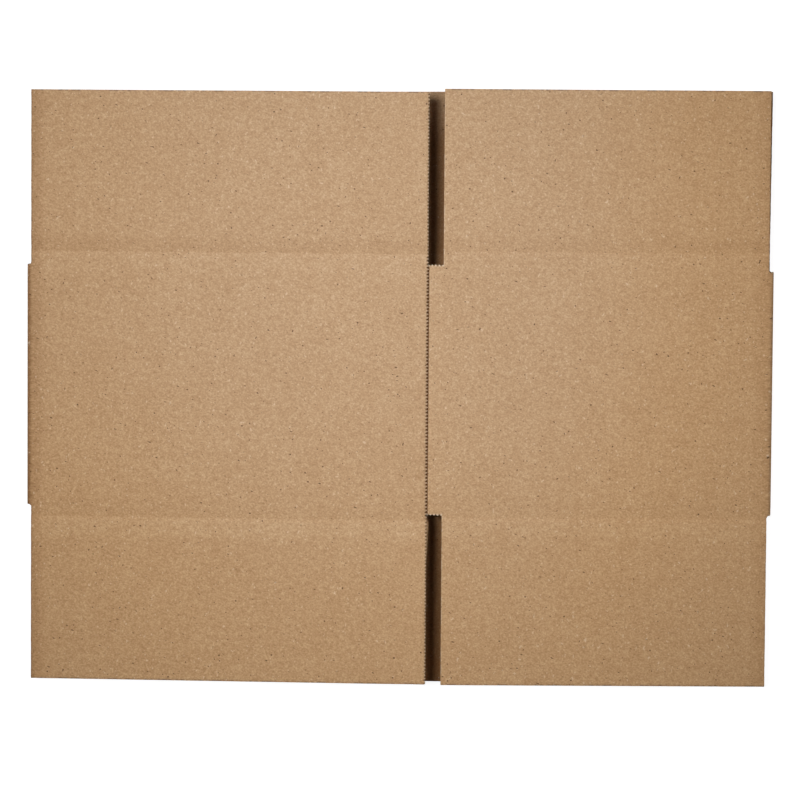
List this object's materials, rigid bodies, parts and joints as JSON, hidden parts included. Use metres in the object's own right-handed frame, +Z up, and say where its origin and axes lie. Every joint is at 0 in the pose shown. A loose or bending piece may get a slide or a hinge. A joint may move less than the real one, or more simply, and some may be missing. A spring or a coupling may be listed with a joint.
{
  "type": "flattened cardboard box",
  "caption": "Plain brown corrugated shipping carton with a glued side joint, folded flat on its back, its front a little sprung; the front flaps fold up along their scores.",
  "frame": {"origin": "centre of the flat outline, on the surface that the carton lies on", "axes": "+X across the panels from the long front panel to the short one, +Y along the flutes towards the top flaps, +Z up from the surface"},
  "size_m": [0.459, 0.3666, 0.0203],
  "materials": {
    "kraft_board": "matt uncoated brown kraft liner on corrugated board"
  },
  "bodies": {
    "carton": {"carton_body": "kraft_board"},
    "long_flap_top": {"long_flap_top": "kraft_board"},
    "long_flap_bottom": {"long_flap_bottom": "kraft_board"},
    "short_flap_top": {"short_flap_top": "kraft_board"},
    "short_flap_bottom": {"short_flap_bottom": "kraft_board"}
  },
  "joints": [
    {"name": "long_top_crease", "type": "hinge", "parent": "carton", "child": "long_flap_top", "pos_m": [-0.10409, 0.08225, 0.01443], "axis": [0.9988, 0, 0.048], "range_deg": [0, 135]},
    {"name": "long_bottom_crease", "type": "hinge", "parent": "carton", "child": "long_flap_bottom", "pos_m": [-0.10409, -0.08145, 0.01443], "axis": [-0.9988, 0, -0.048], "range_deg": [0, 135]},
    {"name": "short_top_crease", "type": "hinge", "parent": "carton", "child": "short_flap_top", "pos_m": [0.12701, 0.08385, 0.01252], "axis": [0.9992, 0, -0.0398], "range_deg": [0, 135]},
    {"name": "short_bottom_crease", "type": "hinge", "parent": "carton", "child": "short_flap_bottom", "pos_m": [0.12701, -0.07985, 0.01252], "axis": [-0.9992, 0, 0.0398], "range_deg": [0, 135]}
  ]
}
